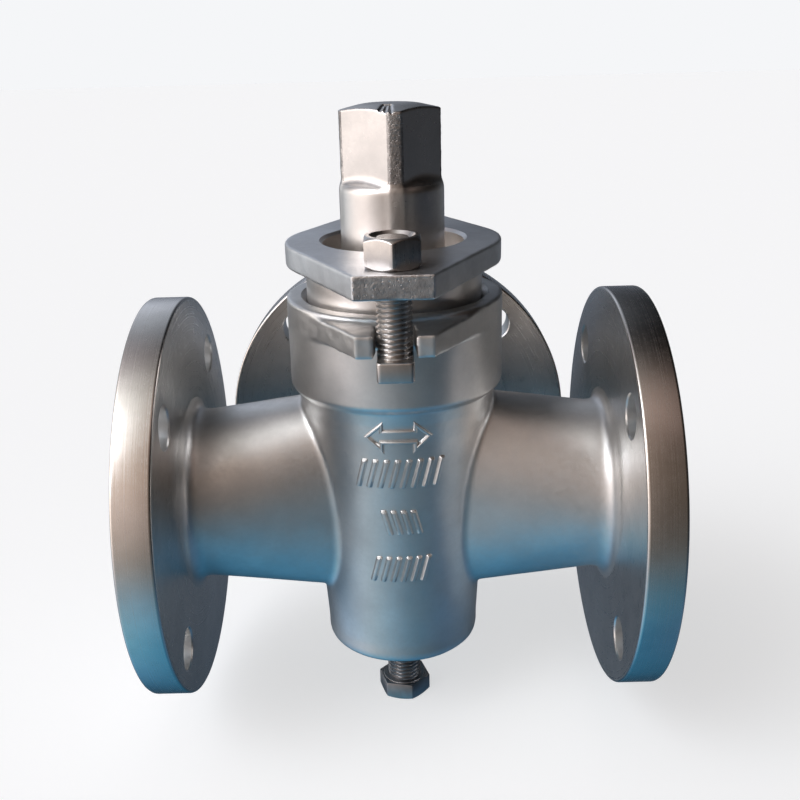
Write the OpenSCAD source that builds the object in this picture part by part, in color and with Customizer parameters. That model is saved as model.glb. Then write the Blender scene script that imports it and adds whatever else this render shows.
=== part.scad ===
// Three-way flanged plug valve, packed gland type, DN65.
// Origin: the point where the run and branch centrelines meet.
// X runs along the straight run, Y points out of the branch, Z is up the stem.

/* [Connections] */
// Flange outside diameter
flange_d = 180; // [160:1:200]
// Flange thickness without the raised face
flange_t = 16; // [12:0.5:24]
// Face to face length of the straight run
run_length = 220; // [190:1:260]
// Centre to face length of the branch
branch_length = 110; // [95:1:130]
// Raised face diameter
raised_face_d = 120; // [100:1:130]
// Raised face height
raised_face_h = 0.8; // [0.6:0.1:3]
// Bolt circle diameter
bolt_circle_d = 145; // [125:1:160]
// Bolt hole diameter
bolt_hole_d = 18; // [14:1:22]
// Nominal bore diameter
bore_d = 65; // [50:1:80]

/* [Casting] */
// Outside radius of a neck where it meets its flange
neck_flange_r = 37.5; // [36:0.5:42]
// Half height of a neck inside the barrel
neck_half_height = 48; // [44:0.5:52]
// Half width of a neck inside the barrel
neck_half_width = 26; // [24:0.5:34]
// Barrel radius at the height of the ports
barrel_r = 39.3; // [38:0.1:44]
// Height of the underside of the barrel, below the centre
barrel_bottom = -73; // [-80:0.5:-68]
// Outside radius of the stuffing box
box_r = 46.5; // [44:0.5:52]
// Height where the stuffing box starts
box_bottom = 55; // [50:0.5:60]
// Height of the stuffing box rim
box_top = 92.8; // [88:0.2:98]
// Bore radius of the stuffing box
box_bore_r = 38; // [36:0.5:42]
// Radius of the edge under the barrel
barrel_edge_r = 8; // [4:0.5:12]

/* [Lugs] */
// Height of the underside of the bolt lugs
lug_bottom = 81.5; // [78:0.5:86]
// Height of the top of the bolt lugs
lug_top = 91; // [88:0.5:92.5]
// Distance of the lug front face from the stem axis
lug_reach = 63.9; // [60:0.1:70]
// Width of the open slot between a lug's two ears
lug_slot_w = 15.6; // [15:0.1:18]

/* [Plug] */
// Plug radius at the height of the ports
plug_r = 33; // [31:0.25:35]
// Radius gained for each millimetre of height
plug_slope = 0.0625; // [0.04:0.0025:0.08]
// Running gap between the plug and its seat, on the radius
plug_gap = 0.05; // [0.02:0.01:0.1]
// Height of the plug's shoulder under the packing
plug_shoulder = 46; // [42:0.5:50]
// Height of the plug's bottom face
plug_bottom = -48; // [-52:0.5:-44]
// Port window width
port_w = 36; // [30:1:38]
// Port window height
port_h = 72; // [60:1:76]
// Corner radius of the port window
port_corner_r = 12; // [6:1:16]
// Journal radius through the packing and the gland
journal_r = 29.5; // [28:0.25:31]
// Height where the journal ends and the stem starts
journal_top = 104; // [98:1:110]
// Stem radius above the gland
stem_r = 21.75; // [20:0.25:24]

/* [Operator square] */
// Width across the flats of the operator square
square_af = 33; // [30:0.5:36]
// Angle from the run to a flat of the square
square_turn = 50.4; // [45:0.1:55]
// Radius of the round left on the square's corners
square_corner_r = 21; // [19:0.25:22]
// Height where the square starts
square_bottom = 140.5; // [136:0.5:146]
// Height of the top of the square
square_top = 171.3; // [165:0.1:176]

/* [Gland] */
// Height of the underside of the gland flange
gland_bottom = 106.5; // [103:0.5:109]
// Thickness of the gland flange
gland_t = 9.5; // [8:0.5:12]
// Radius of the two rounded sides of the gland flange
gland_lobe_r = 46; // [44:0.5:49]
// Half width of the flat ends of the gland flange
gland_end_half_w = 15; // [12:0.5:18]
// Distance of the flat ends from the stem axis
gland_reach = 73.2; // [70:0.2:78]
// Sleeve outside radius
sleeve_r = 37.75; // [37:0.05:38]
// Gland hole radius
gland_hole_r = 30.1; // [29.6:0.1:31]

/* [Gland bolts] */
// Distance of each gland bolt from the stem axis
bolt_offset = 58; // [56:0.5:62]
// Gland bolt diameter
bolt_d = 14; // [12:1:16]
// Nut width across flats
bolt_af = 21; // [19:1:24]
// T-head height
bolt_head_h = 8; // [7:0.5:10]
// T-head width, across the slot
bolt_head_w = 14.4; // [14.2:0.1:15]
// T-head length, along the slot
bolt_head_l = 22; // [18:0.5:22.5]
// Nut height
nut_h = 12; // [9:0.5:13]
// Length of the bolt under its head
bolt_length = 45.7; // [43:0.1:50]
// Clearance hole radius in the gland
bolt_clear_r = 7.75; // [7.5:0.05:8.5]
// Gap between a thread and its nut, on the radius
thread_gap = 0.05; // [0.02:0.01:0.1]

/* [Packing] */
// Number of packing rings
packing_count = 4; // [3:1:5]
// Height of one packing ring
packing_h = 8; // [6:0.5:10]
// Thickness of the seat ring under the packing
seat_ring_h = 5; // [3:0.5:8]

/* [Jack screw] */
// Jack screw diameter
jack_d = 16; // [14:1:20]
// Height of the jack screw's tip inside the body
jack_tip = -54; // [-57:0.5:-52]
// Height of the top of the jack screw's head
jack_head_top = -101; // [-104:0.5:-96]
// Jack screw head height
jack_head_h = 8.5; // [8:0.5:10]
// Jack screw head width across flats
jack_head_af = 22; // [20:1:24]
// Lock nut width across flats
lock_nut_af = 24; // [22:1:27]
// Lock nut height
lock_nut_h = 8; // [7:0.5:10]
// Height of the boss under the barrel
boss_h = 3; // [2:0.5:6]
// Thrust pad radius
pad_r = 12; // [10:0.5:14]
// Depth of the plug's recess for the thrust pad
pad_recess = 3; // [2:0.5:4]

/* [Hidden] */
e = 0.02;
hex_factor = 1 / cos(30);
run_half = run_length / 2;
seat_bottom = plug_bottom - 2;
box_floor = plug_shoulder;
seat_r = plug_r + plug_gap;
cavity_floor = -60;
ring_bottom = plug_shoulder;
packing_bottom = ring_bottom + seat_ring_h;
sleeve_bottom = packing_bottom + packing_count * packing_h;
gland_top = gland_bottom + gland_t;
bolt_top = lug_bottom + bolt_length;
boss_bottom = barrel_bottom - boss_h;
lock_nut_bottom = boss_bottom - lock_nut_h;
pad_top = plug_bottom + pad_recess;

cast_steel = [0.62, 0.63, 0.64];
turned_steel = [0.78, 0.76, 0.74];
bolt_steel = [0.70, 0.67, 0.64];
graphite = [0.14, 0.14, 0.15];

// Outside radius of the tapered barrel at a height.
function barrel_at(z) = barrel_r + plug_slope * z;

// Point where a line from p touches a circle of radius r about the origin, on side s.
function touch(p, r, s) =
    let (d = norm(p), a = atan2(p[1], p[0]) + s * acos(r / d))
    [r * cos(a), r * sin(a)];

// Points on a quarter round of radius r about c, from angle a0 to a1.
function quarter(c, r, a0, a1) = [for (i = [0:6]) let (a = a0 + (a1 - a0) * i / 6)
    [c[0] + r * cos(a), c[1] + r * sin(a)]];

// Regular hexagon prism, given its width across flats.
module hexagon(af, h) {
    cylinder(r = af / 2 * hex_factor, h = h, $fn = 6);
}

// Cone that trims the corners off the upper end of a hexagon.
module corner_trim(af, h) {
    union() {
        cylinder(r = af, h = h - af * 0.08, $fn = 64);
        translate([0, 0, h - af * 0.08 - e])
            cylinder(r1 = af * 0.6186, r2 = af * 0.48, h = af * 0.08 + e, $fn = 64);
    }
}

// Window outline of a port, in the plane across its centreline.
module port_outline() {
    c = port_corner_r;
    union() {
        square([port_w - 2 * c, port_h], center = true);
        square([port_w, port_h - 2 * c], center = true);
        for (i = [-1, 1])
            for (j = [-1, 1])
                translate([i * (port_w / 2 - c), j * (port_h / 2 - c)])
                    circle(r = c, $fn = 32);
    }
}

// Straight port passage from x = a to x = b, along +X.
module port_passage(a, b) {
    translate([a, 0, 0])
        rotate([90, 0, 90])
            linear_extrude(b - a)
                port_outline();
}

// Smooth passage from the round bore to the port window, along +X.
module port_reducer() {
    hull() {
        translate([run_half - flange_t - 2, 0, 0])
            rotate([0, 90, 0])
                cylinder(r = bore_d / 2, h = 0.5, $fn = 48);
        port_passage(33.5, 34);
    }
}

// Outline of a neck inside the barrel: a tall oval with full shoulders.
function oval(a) =
    let (c = cos(a), s = sin(a))
    [sign(c) * neck_half_width * pow(abs(c), 0.8), sign(s) * neck_half_height * pow(abs(s), 0.8)];

// Outside of a neck, oval at the barrel and round at the flange, along +X.
module neck_outside() {
    hull() {
        translate([run_half - flange_t - 2, 0, 0])
            rotate([0, 90, 0])
                cylinder(r = neck_flange_r, h = 1, $fn = 48);
        translate([18, 0, 0])
            rotate([90, 0, 90])
                linear_extrude(1)
                    polygon([for (i = [0:47]) oval(i * 7.5)]);
    }
}

// Flange with its raised face, its face at x = face.
module flange_blank(face) {
    back = face - raised_face_h - flange_t;
    union() {
        translate([back, 0, 0])
            rotate([0, 90, 0])
                cylinder(d = flange_d, h = flange_t, $fn = 96);
        translate([face - raised_face_h - e, 0, 0])
            rotate([0, 90, 0])
                cylinder(d = raised_face_d, h = raised_face_h + e, $fn = 96);
        translate([back - 5, 0, 0])
            rotate([0, 90, 0])
                cylinder(r1 = neck_flange_r, r2 = neck_flange_r + 5, h = 5 + e, $fn = 96);
    }
}

// Bolt holes and round bore of a flange, its face at x = face.
module flange_holes(face) {
    for (i = [0:3])
        rotate([45 + 90 * i, 0, 0])
            translate([face - flange_t - 4, 0, bolt_circle_d / 2])
                rotate([0, 90, 0])
                    cylinder(d = bolt_hole_d, h = flange_t + 8, $fn = 48);
    translate([run_half - flange_t - 2 - e, 0, 0])
        rotate([0, 90, 0])
            cylinder(d = bore_d, h = face - run_half + flange_t + 4, $fn = 96);
}

// The three directions that carry a flange, with the centre to face length of each.
module each_way() {
    children(0);
    rotate([0, 0, 180])
        children(0);
    rotate([0, 0, 90])
        children(1);
}

// Barrel and stuffing box, turned about the stem axis.
module barrel_outside() {
    edge = barrel_edge_r;
    bottom_r = barrel_at(barrel_bottom + edge);
    rotate_extrude($fn = 96)
        polygon(concat(
            [[0, boss_bottom], [16, boss_bottom], [17, boss_bottom + 1], [17, barrel_bottom]],
            quarter([bottom_r - edge, barrel_bottom + edge], edge, -90, 0),
            [
                [barrel_at(38), 38],
                [barrel_at(46) + 0.6, 46],
                [barrel_at(51) + 1.8, 51],
                [box_r - 1.4, box_bottom - 1.2],
                [box_r, box_bottom],
                [box_r, box_top - 0.8],
                [box_r - 0.8, box_top],
                [0, box_top]
            ]));
}

// One pair of lug ears on the -Y side, with the bolt slot between them.
module lug() {
    front = [15.2, -lug_reach];
    side = touch(front, box_r - 1, 1);
    translate([0, 0, lug_bottom])
        linear_extrude(lug_top - lug_bottom)
            difference() {
                polygon([
                    front, side, [30, -20], [-30, -20], [-side[0], side[1]], [-front[0], front[1]]
                ]);
                translate([-lug_slot_w / 2, -bolt_offset])
                    square([lug_slot_w, bolt_offset - box_r - 3]);
                polygon([
                    [-lug_slot_w / 2, -bolt_offset + 2], [-lug_slot_w / 2 - 0.5, -lug_reach - e],
                    [lug_slot_w / 2 + 0.5, -lug_reach - e], [lug_slot_w / 2, -bolt_offset + 2]
                ]);
            }
}

module body() {
    color(cast_steel)
        difference() {
            union() {
                barrel_outside();
                each_way() {
                    union() {
                        neck_outside();
                        flange_blank(run_half);
                    }
                    union() {
                        neck_outside();
                        flange_blank(branch_length);
                    }
                }
                lug();
                rotate([0, 0, 180])
                    lug();
            }
            each_way() {
                union() {
                    port_reducer();
                    port_passage(20, 34);
                    flange_holes(run_half);
                }
                union() {
                    port_reducer();
                    port_passage(20, 34);
                    flange_holes(branch_length);
                }
            }
            translate([0, 0, seat_bottom])
                cylinder(r1 = seat_r + plug_slope * seat_bottom,
                    r2 = seat_r + plug_slope * box_floor, h = box_floor - seat_bottom, $fn = 96);
            translate([0, 0, box_floor - e])
                cylinder(r = box_bore_r, h = box_top - box_floor + 1, $fn = 96);
            translate([0, 0, box_top - 2.4])
                cylinder(r1 = box_bore_r, r2 = box_bore_r + 2.5, h = 2.5, $fn = 96);
            translate([0, 0, cavity_floor])
                cylinder(r = seat_r + plug_slope * seat_bottom, h = seat_bottom - cavity_floor + e, $fn = 96);
            translate([0, 0, boss_bottom - 1])
                cylinder(r = jack_d / 2 + thread_gap, h = cavity_floor - boss_bottom + 2, $fn = 64);
        }
}

// Square on top of the stem, its corners close to the front, back and sides.
module operator_square() {
    h = square_top - square_bottom;
    intersection() {
        translate([0, 0, square_bottom])
            rotate([0, 0, square_turn])
                translate([-square_af / 2, -square_af / 2, 0])
                    cube([square_af, square_af, h]);
        translate([0, 0, square_bottom])
            union() {
                cylinder(r = square_corner_r, h = h - 1.8 + e, $fn = 96);
                translate([0, 0, h - 1.8])
                    cylinder(r1 = square_corner_r, r2 = 14, h = 1.8, $fn = 96);
            }
    }
}

module plug() {
    color(turned_steel)
        difference() {
            union() {
                translate([0, 0, plug_bottom])
                    cylinder(r1 = plug_r + plug_slope * plug_bottom,
                        r2 = plug_r + plug_slope * plug_shoulder,
                        h = plug_shoulder - plug_bottom, $fn = 96);
                translate([0, 0, plug_shoulder - e])
                    cylinder(r = journal_r, h = journal_top - 1 - plug_shoulder + 2 * e, $fn = 96);
                translate([0, 0, journal_top - 1])
                    cylinder(r1 = journal_r, r2 = journal_r - 1, h = 1, $fn = 96);
                translate([0, 0, journal_top - e])
                    cylinder(r = stem_r, h = square_bottom - journal_top + 2 * e, $fn = 96);
                operator_square();
            }
            port_passage(-40, 40);
            rotate([0, 0, 90])
                port_passage(0, 40);
            translate([0, 0, plug_bottom - 1])
                cylinder(r = pad_r + 0.08, h = pad_recess + 1, $fn = 64);
        }
}

module packing_seat_ring() {
    color(turned_steel)
        translate([0, 0, ring_bottom])
            difference() {
                cylinder(r = box_bore_r - 0.2, h = seat_ring_h, $fn = 96);
                translate([0, 0, -1])
                    cylinder(r = journal_r + 0.1, h = seat_ring_h + 2, $fn = 96);
            }
}

// Packing ring number i, counted from the bottom.
module packing(i) {
    color(graphite)
        translate([0, 0, packing_bottom + (i - 1) * packing_h])
            difference() {
                cylinder(r = box_bore_r - 0.1, h = packing_h, $fn = 96);
                translate([0, 0, -1])
                    cylinder(r = journal_r + 0.1, h = packing_h + 2, $fn = 96);
            }
}

module packing_ring_1() {
    packing(1);
}

module packing_ring_2() {
    packing(2);
}

module packing_ring_3() {
    packing(3);
}

module packing_ring_4() {
    packing(4);
}

// Outline of the gland flange: two rounded sides and two flat ends.
module gland_outline() {
    p = [gland_end_half_w, gland_reach];
    t = touch(p, gland_lobe_r, -1);
    union() {
        circle(r = gland_lobe_r, $fn = 96);
        polygon([
            p, t, [t[0], -t[1]], [p[0], -p[1]],
            [-p[0], -p[1]], [-t[0], -t[1]], [-t[0], t[1]], [-p[0], p[1]]
        ]);
    }
}

module gland() {
    color(cast_steel)
        difference() {
            union() {
                translate([0, 0, gland_bottom])
                    linear_extrude(gland_t)
                        gland_outline();
                translate([0, 0, sleeve_bottom])
                    cylinder(r = sleeve_r, h = gland_bottom - sleeve_bottom + e, $fn = 96);
            }
            translate([0, 0, sleeve_bottom - 1])
                cylinder(r = gland_hole_r, h = gland_top - sleeve_bottom + 2, $fn = 96);
            for (s = [-1, 1])
                translate([0, s * bolt_offset, gland_bottom - 1])
                    cylinder(r = bolt_clear_r, h = gland_t + 2, $fn = 48);
        }
}

// Gland bolt: T-head lying along the slot, its inner end hooked under the lug,
// threaded shank up through the gland.
module gland_bolt() {
    w = bolt_head_w / 2;
    l = bolt_head_l / 2;
    c = 1.2;
    color(bolt_steel)
        union() {
            translate([0, 0, lug_bottom - bolt_head_h])
                linear_extrude(bolt_head_h)
                    polygon([
                        [-w, c - l], [c - w, -l], [w - c, -l], [w, c - l],
                        [w, l - c], [w - c, l], [c - w, l], [-w, l - c]
                    ]);
            translate([0, 0, lug_bottom - 1])
                cylinder(d = bolt_d, h = bolt_length, $fn = 48);
            translate([0, 0, bolt_top - 1 - e])
                cylinder(r1 = bolt_d / 2, r2 = bolt_d / 2 - 1, h = 1 + e, $fn = 48);
        }
}

module gland_bolt_front() {
    translate([0, -bolt_offset, 0])
        gland_bolt();
}

module gland_bolt_rear() {
    translate([0, bolt_offset, 0])
        gland_bolt();
}

module gland_nut() {
    color(bolt_steel)
        translate([0, 0, gland_top])
            difference() {
                intersection() {
                    rotate([0, 0, 30])
                        hexagon(bolt_af, nut_h);
                    corner_trim(bolt_af, nut_h);
                }
                translate([0, 0, -1])
                    cylinder(r = bolt_d / 2 + thread_gap, h = nut_h + 2, $fn = 48);
            }
}

module gland_nut_front() {
    translate([0, -bolt_offset, 0])
        gland_nut();
}

module gland_nut_rear() {
    translate([0, bolt_offset, 0])
        gland_nut();
}

module thrust_pad() {
    color(turned_steel)
        translate([0, 0, jack_tip])
            cylinder(r = pad_r, h = pad_top - jack_tip, $fn = 64);
}

module jack_screw() {
    color(bolt_steel)
        union() {
            intersection() {
                translate([0, 0, jack_head_top - jack_head_h])
                    rotate([0, 0, -13])
                        hexagon(jack_head_af, jack_head_h);
                translate([0, 0, jack_head_top])
                    rotate([180, 0, 0])
                        corner_trim(jack_head_af, jack_head_h);
            }
            translate([0, 0, jack_head_top - e])
                cylinder(d = jack_d, h = jack_tip - 1 - jack_head_top + 2 * e, $fn = 64);
            translate([0, 0, jack_tip - 1])
                cylinder(r1 = jack_d / 2, r2 = jack_d / 2 - 1, h = 1, $fn = 64);
        }
}

module jack_lock_nut() {
    color(bolt_steel)
        difference() {
            intersection() {
                translate([0, 0, lock_nut_bottom])
                    hexagon(lock_nut_af, lock_nut_h);
                translate([0, 0, boss_bottom])
                    rotate([180, 0, 0])
                        corner_trim(lock_nut_af, lock_nut_h);
            }
            translate([0, 0, lock_nut_bottom - 1])
                cylinder(r = jack_d / 2 + thread_gap, h = lock_nut_h + 2, $fn = 64);
        }
}

body();
plug();
packing_seat_ring();
packing_ring_1();
packing_ring_2();
packing_ring_3();
packing_ring_4();
gland();
gland_bolt_front();
gland_bolt_rear();
gland_nut_front();
gland_nut_rear();
thrust_pad();
jack_screw();
jack_lock_nut();
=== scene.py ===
"""Three-way flanged plug valve: visual model, light and camera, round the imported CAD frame."""

import math

import bmesh
import bpy
import numpy as np
from mathutils import Matrix, Vector


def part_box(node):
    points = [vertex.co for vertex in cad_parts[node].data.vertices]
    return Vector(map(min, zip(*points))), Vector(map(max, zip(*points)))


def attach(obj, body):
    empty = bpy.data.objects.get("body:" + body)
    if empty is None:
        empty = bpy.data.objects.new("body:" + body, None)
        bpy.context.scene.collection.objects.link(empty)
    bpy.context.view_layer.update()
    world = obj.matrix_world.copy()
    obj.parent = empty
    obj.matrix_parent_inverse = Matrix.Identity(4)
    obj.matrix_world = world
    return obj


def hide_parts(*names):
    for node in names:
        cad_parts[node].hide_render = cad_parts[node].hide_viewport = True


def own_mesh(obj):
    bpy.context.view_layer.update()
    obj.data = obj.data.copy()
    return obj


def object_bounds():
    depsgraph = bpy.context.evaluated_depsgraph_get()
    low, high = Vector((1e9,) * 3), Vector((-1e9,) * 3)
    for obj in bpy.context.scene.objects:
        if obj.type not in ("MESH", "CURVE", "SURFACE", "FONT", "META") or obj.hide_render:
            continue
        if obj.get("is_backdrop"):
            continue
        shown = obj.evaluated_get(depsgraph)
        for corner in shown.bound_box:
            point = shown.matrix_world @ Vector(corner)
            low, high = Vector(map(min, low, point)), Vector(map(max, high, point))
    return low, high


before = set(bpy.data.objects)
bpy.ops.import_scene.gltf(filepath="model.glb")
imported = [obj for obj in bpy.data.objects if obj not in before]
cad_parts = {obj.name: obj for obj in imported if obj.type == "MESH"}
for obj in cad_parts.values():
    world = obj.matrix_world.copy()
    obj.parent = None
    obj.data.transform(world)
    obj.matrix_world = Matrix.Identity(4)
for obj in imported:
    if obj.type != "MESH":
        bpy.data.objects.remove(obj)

CAD_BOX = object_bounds()
MM = 0.001
SCENE = bpy.context.scene
FAR_OUTSIDE = 5  # a distance field's value outside, in millimetres


def node_box(name):
    """Lowest and highest corner of a CAD node, in millimetres."""
    low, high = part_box(name)
    return np.array(low) / MM, np.array(high) / MM


BODY_LOW, BODY_HIGH = node_box("body")
PLUG_LOW, PLUG_HIGH = node_box("plug")
GLAND_LOW, GLAND_HIGH = node_box("gland")
RING_LOW, RING_HIGH = node_box("packing_seat_ring")
BOLT_LOW, BOLT_HIGH = node_box("gland_bolt_front")
NUT_LOW, NUT_HIGH = node_box("gland_nut_front")
PAD_LOW, PAD_HIGH = node_box("thrust_pad")
JACK_LOW, JACK_HIGH = node_box("jack_screw")
LOCK_LOW, LOCK_HIGH = node_box("jack_lock_nut")

# Sizes in millimetres, as in the CAD source. Z is the stem's axis, X the run, +Y the branch.
FACE = BODY_HIGH[0]  # raised face, out along a port's axis
FLANGE_R = -BODY_LOW[1]
RAISED = 0.8
FLANGE_T = 16.0
RIM = FACE - RAISED  # the flange outside its raised face
BACK = RIM - FLANGE_T  # the flange's back
RAISED_R = 60.0
BORE_R = 32.5
BOLT_CIRCLE_R = 72.5
BOLT_HOLE_R = 9.0
PORT_TURNS = (0, 180, 90)  # right, left and branch, in degrees from +X
PORT_HALF_W, PORT_HALF_H, PORT_CORNER = 18.0, 36.0, 12.0
NECK_R = 37.5  # at the flange, round
NECK_START, NECK_HALF_W, NECK_HALF_H = 18, 26, 48  # at the barrel, a tall oval
SLOPE = 0.0625  # of the barrel's, seat's and plug's taper
BARREL_R = 39.3  # at z = 0
BARREL_BOTTOM = -73.0
BOX_TOP = BODY_HIGH[2]  # stuffing box
BOX_R = 46.5
BOX_BORE_R = 38.0
LUG_LOW, LUG_HIGH, LUG_REACH = 81.5, 91.0, 63.9
SLOT_W, SLOT_FLARE = 15.6, 0.5
PLUG_R = 33.0  # at z = 0
PAD_HOLE_R = 12.08
SEAT_GAP = 0.05
SEAT_LOW, SEAT_TOP = -50.0, 46.0  # the tapered seat
WELL_FLOOR = -60
STEM_R = 21.75
JOURNAL_R, JOURNAL_TOP = 29.5, 104.0
SQUARE_AF, SQUARE_LOW, SQUARE_TURN = 33.0, 140.5, 50.4
SQUARE_CORNER_R = 20.95
CROWN_R, CROWN_SLOPE, GROOVE_R = 11.0, 0.235, 0.8
GLAND_BOTTOM, GLAND_HOLE_R, GLAND_LOBE_R = 106.5, 30.1, 46
SLEEVE_R, SLEEVE_ROOT_R = 37.75, 39.2
GLAND_BOLT_HOLE = [(0, 100), (11, 100), (7.75, 106.6), (7.75, 115.4), (10, 117.7), (0, 117.7)]
BOLT_OFFSET = 58.0
BOLT_R, JACK_R, PITCH = 7.0, 8.0, 2.0
THREAD_GAP = 0.06
NUT_AF, NUT_TURN = 21, 30
JACK_AF, JACK_TURN, JACK_HEAD_TOP = 22, -13, -101.0
LOCK_AF, LOCK_TURN = 24, 17
SEAT_RING_INNER, SEAT_RING_OUTER = 29.6, 37.8
PACKING_INNER, PACKING_OUTER, PACKING_STRANDS = 29.66, 37.84, 30
MARK_HEIGHT = 1.25


# -------- meshes

def link(name, mesh):
    """A new object in the scene."""
    ob = bpy.data.objects.new(name, mesh)
    SCENE.collection.objects.link(ob)
    return ob


def make(name, points, faces):
    """A mesh object from points in millimetres, with its faces turned outwards."""
    mesh = bpy.data.meshes.new(name)
    mesh.from_pydata((np.asarray(points, float) * MM).tolist(), [], faces)
    bm = bmesh.new()
    bm.from_mesh(mesh)
    bmesh.ops.recalc_face_normals(bm, faces=bm.faces)
    bm.to_mesh(mesh)
    bm.free()
    return link(name, mesh)


def apply(ob, kind, **settings):
    """Adds one modifier and bakes it into the mesh."""
    mod = ob.modifiers.new(kind, kind)
    for key, value in settings.items():
        setattr(mod, key, value)
    graph = bpy.context.evaluated_depsgraph_get()
    mesh = bpy.data.meshes.new_from_object(ob.evaluated_get(graph), depsgraph=graph)
    ob.modifiers.clear()
    old, ob.data = ob.data, mesh
    bpy.data.meshes.remove(old)
    return ob


def combine(ob, other, how):
    """Boolean of two closed objects; the second one is used up."""
    apply(ob, "BOOLEAN", operation=how, solver="MANIFOLD", object=other)
    bpy.data.objects.remove(other)


def add(ob, other):
    combine(ob, other, "UNION")


def carve(ob, other):
    combine(ob, other, "DIFFERENCE")


def join(name, obs):
    """One object from several that don't touch."""
    bm = bmesh.new()
    for ob in obs:
        ob.data.transform(ob.matrix_world)
        bm.from_mesh(ob.data)
        bpy.data.objects.remove(ob)
    mesh = bpy.data.meshes.new(name)
    bm.to_mesh(mesh)
    bm.free()
    return link(name, mesh)


def moved(ob, turn_z=0, shift=(0, 0, 0), tip=False):
    """Turns a mesh (tip lays +Z along +X first), then shifts it, in millimetres."""
    m = Matrix.Rotation(math.radians(turn_z), 4, "Z")
    if tip:
        m = m @ Matrix.Rotation(math.radians(90), 4, "Y")
    ob.data.transform(Matrix.Translation(Vector(shift) * MM) @ m)
    return ob


def rounded(points, closed=True, steps=4):
    """A 2D outline with its corners (x, y, radius) rounded; one without a radius stays sharp."""
    out = []
    n = len(points)
    for i, p in enumerate(points):
        r = p[2] if len(p) > 2 else 0
        here = np.array(p[:2], float)
        if not r or (not closed and i in (0, n - 1)):
            out.append(tuple(here))
            continue
        a = np.array(points[i - 1][:2], float) - here
        b = np.array(points[(i + 1) % n][:2], float) - here
        la, lb = np.linalg.norm(a), np.linalg.norm(b)
        a, b = a / la, b / lb
        half = math.acos(np.clip(a @ b, -1, 1)) / 2
        reach = min(r / math.tan(half), la * 0.49, lb * 0.49)
        start, end = here + a * reach, here + b * reach
        for k in range(steps + 1):
            t = k / steps
            out.append(tuple((1 - t) ** 2 * start + 2 * t * (1 - t) * here + t * t * end))
    return out


def band(a, b, n):
    """Quads between two rings of n points, which start at a and b."""
    return [(a + i, a + (i + 1) % n, b + (i + 1) % n, b + i) for i in range(n)]


def lathe(name, profile, n):
    """A solid turned about Z from a profile of (radius, z); on the axis or a closed loop."""
    points, rings = [], []
    turn = np.linspace(0, 2 * math.pi, n, endpoint=False)
    for r, z in profile:
        tip = r < 1e-6
        rings.append((len(points), tip))
        points += [(0, 0, z)] if tip else [(r * math.cos(t), r * math.sin(t), z) for t in turn]
    faces = []
    for (a, a_tip), (b, b_tip) in zip(rings, rings[1:] + ([] if rings[0][1] else rings[:1])):
        if a_tip:
            faces += [(a, b + i, b + (i + 1) % n) for i in range(n)]
        elif b_tip:
            faces += [(a + i, a + (i + 1) % n, b) for i in range(n)]
        else:
            faces += band(a, b, n)
    return make(name, points, faces)


def loft(name, sections):
    """A closed solid through sections with the same number of points."""
    n = len(sections[0])
    points = [p for s in sections for p in s]
    last = (len(sections) - 1) * n
    faces = [tuple(range(n)), tuple(range(last, last + n))]
    for k in range(len(sections) - 1):
        faces += band(k * n, (k + 1) * n, n)
    return make(name, points, faces)


def tube(name, points, n):
    """A closed loop of n rings of points."""
    m = len(points) // n
    faces = []
    for k in range(n):
        faces += band(k * m, (k + 1) % n * m, m)
    return make(name, points, faces)


def prism(name, outline, low, high):
    """An upright solid on an outline."""
    return loft(name, [[(x, y, z) for x, y in outline] for z in (low, high)])


def spaced(path, step, whole=int):
    """Points along a closed path of (x, y), about a step apart."""
    out = []
    for (x0, y0), (x1, y1) in zip(path, path[1:] + path[:1]):
        n = max(1, whole(math.hypot(x1 - x0, y1 - y0) / step))
        out += [(x0 + (x1 - x0) * k / n, y0 + (y1 - y0) * k / n) for k in range(n)]
    return out


def hexagon(af, turn):
    """Corners of a hexagon; at turn 0 a corner lies on +X."""
    r = af / 2 / math.cos(math.pi / 6)
    angles = [math.radians(turn + 60 * k) for k in range(6)]
    return [(r * math.cos(a), r * math.sin(a)) for a in angles]


def finish_mesh(ob, angle=30):
    """Smooth shading with sharp edges kept above an angle."""
    bm = bmesh.new()
    bm.from_mesh(ob.data)
    bmesh.ops.remove_doubles(bm, verts=bm.verts, dist=1e-6)
    bmesh.ops.dissolve_degenerate(bm, dist=1e-7, edges=bm.edges)
    bmesh.ops.recalc_face_normals(bm, faces=bm.faces)
    bm.to_mesh(ob.data)
    bm.free()
    ob.data.shade_smooth()
    ob.data.set_sharp_from_angle(angle=math.radians(angle))
    return ob


# -------- cast shapes as distance fields

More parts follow.
